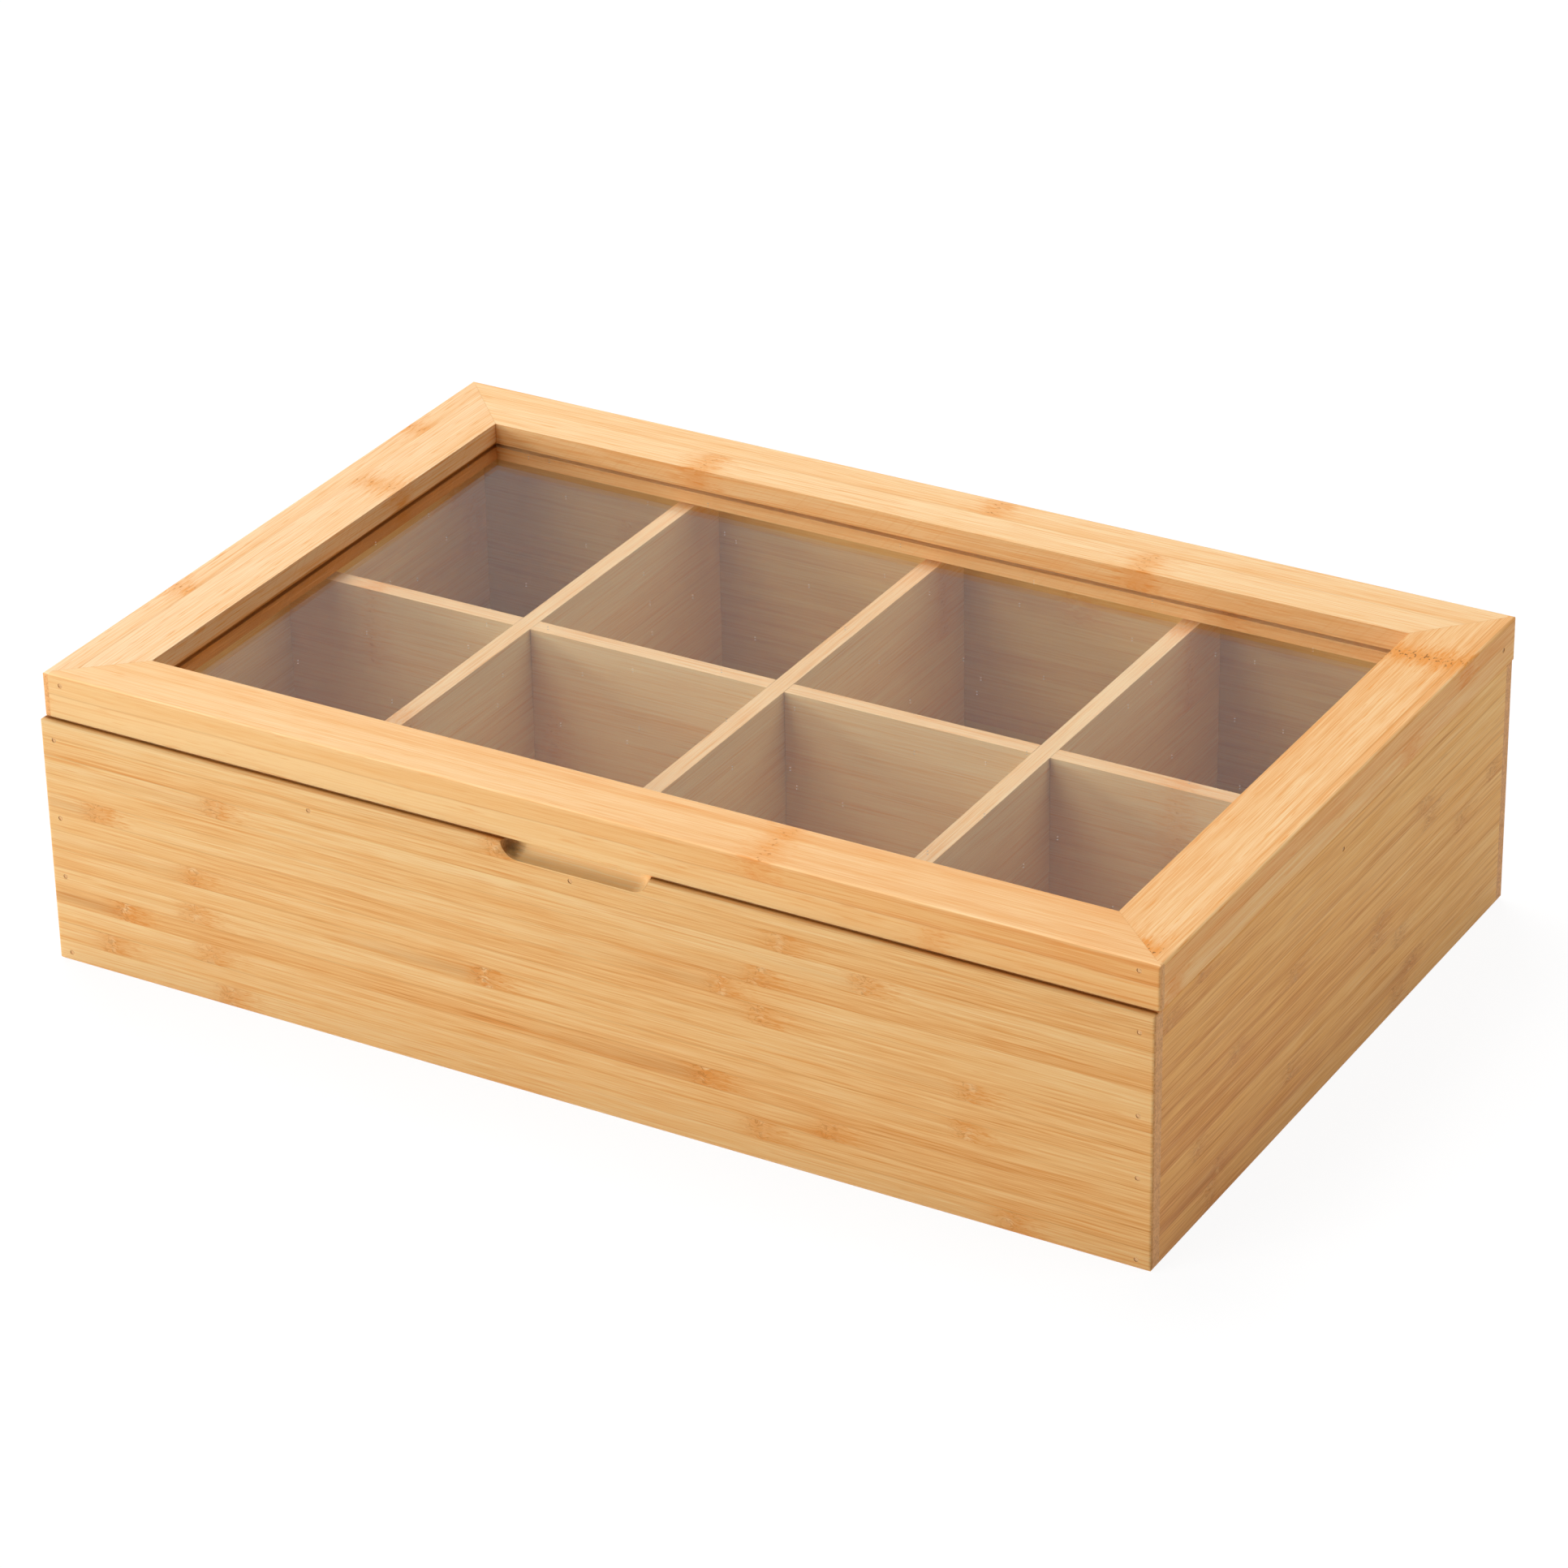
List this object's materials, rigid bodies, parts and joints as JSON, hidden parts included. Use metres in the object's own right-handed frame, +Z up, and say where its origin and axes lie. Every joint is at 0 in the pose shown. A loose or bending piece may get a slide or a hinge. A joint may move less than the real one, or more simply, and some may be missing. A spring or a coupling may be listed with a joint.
{
  "type": "tea bag organizer box",
  "caption": "Shallow bamboo box with equal open cells, a framed clear window lid on back hinges, and a finger notch in the front rim.",
  "frame": {"origin": "middle of the underside, between the side faces and between the front and back faces of the box", "axes": "+Z up, +X to the right along the long side, +Y from the front to the hinged back"},
  "size_m": [0.3164, 0.2142, 0.0828],
  "materials": {
    "box_wood": "bamboo strips laid flat, satin lacquer",
    "lid_wood": "two-layer bamboo, satin lacquer",
    "divider_wood": "bamboo strips, satin lacquer",
    "floor_wood": "thin bamboo board, satin lacquer",
    "clear_pane": "clear, polished",
    "brad_wire": "bright cut wire",
    "hinge_steel": "nickel-plated, satin",
    "pin_steel": "drawn wire",
    "screw_steel": "nickel-plated"
  },
  "bodies": {
    "box": {"front_panel": "box_wood", "back_panel": "box_wood", "left_side_panel": "box_wood", "right_side_panel": "box_wood", "floor_panel": "floor_wood", "long_divider": "divider_wood", "cross_divider_left": "divider_wood", "cross_divider_middle": "divider_wood", "cross_divider_right": "divider_wood", "hinge_left_box_leaf": "hinge_steel", "hinge_left_pin": "pin_steel", "hinge_right_box_leaf": "hinge_steel", "hinge_right_pin": "pin_steel", "front_left_brad_1": "brad_wire", "front_left_brad_2": "brad_wire", "front_left_brad_3": "brad_wire", "front_left_brad_4": "brad_wire", "front_right_brad_1": "brad_wire", "front_right_brad_2": "brad_wire", "front_right_brad_3": "brad_wire", "front_right_brad_4": "brad_wire", "back_left_brad_1": "brad_wire", "back_left_brad_2": "brad_wire", "back_left_brad_3": "brad_wire", "back_left_brad_4": "brad_wire", "back_right_brad_1": "brad_wire", "back_right_brad_2": "brad_wire", "back_right_brad_3": "brad_wire", "back_right_brad_4": "brad_wire", "front_left_divider_brad": "brad_wire", "front_middle_divider_brad": "brad_wire", "back_left_divider_brad": "brad_wire", "back_middle_divider_brad": "brad_wire", "back_right_divider_brad": "brad_wire", "left_long_divider_brad": "brad_wire", "right_long_divider_brad": "brad_wire", "hinge_left_box_screw_1": "screw_steel", "hinge_left_box_screw_2": "screw_steel", "hinge_right_box_screw_1": "screw_steel", "hinge_right_box_screw_2": "screw_steel"},
    "lid": {"lid_front_rail": "lid_wood", "lid_right_rail": "lid_wood", "lid_back_rail": "lid_wood", "lid_left_rail": "lid_wood", "window_pane": "clear_pane", "hinge_left_lid_leaf": "hinge_steel", "hinge_right_lid_leaf": "hinge_steel", "lid_front_left_brad": "brad_wire", "lid_front_right_brad": "brad_wire", "lid_back_right_brad": "brad_wire", "lid_back_left_brad": "brad_wire", "hinge_left_lid_screw_1": "screw_steel", "hinge_left_lid_screw_2": "screw_steel", "hinge_right_lid_screw_1": "screw_steel", "hinge_right_lid_screw_2": "screw_steel"}
  },
  "joints": [
    {"name": "lid_hinge", "type": "hinge", "parent": "box", "child": "lid", "pos_m": [0, 0.10465, 0.0706], "axis": [-1, 0, 0], "range_deg": [0, 100]}
  ]
}
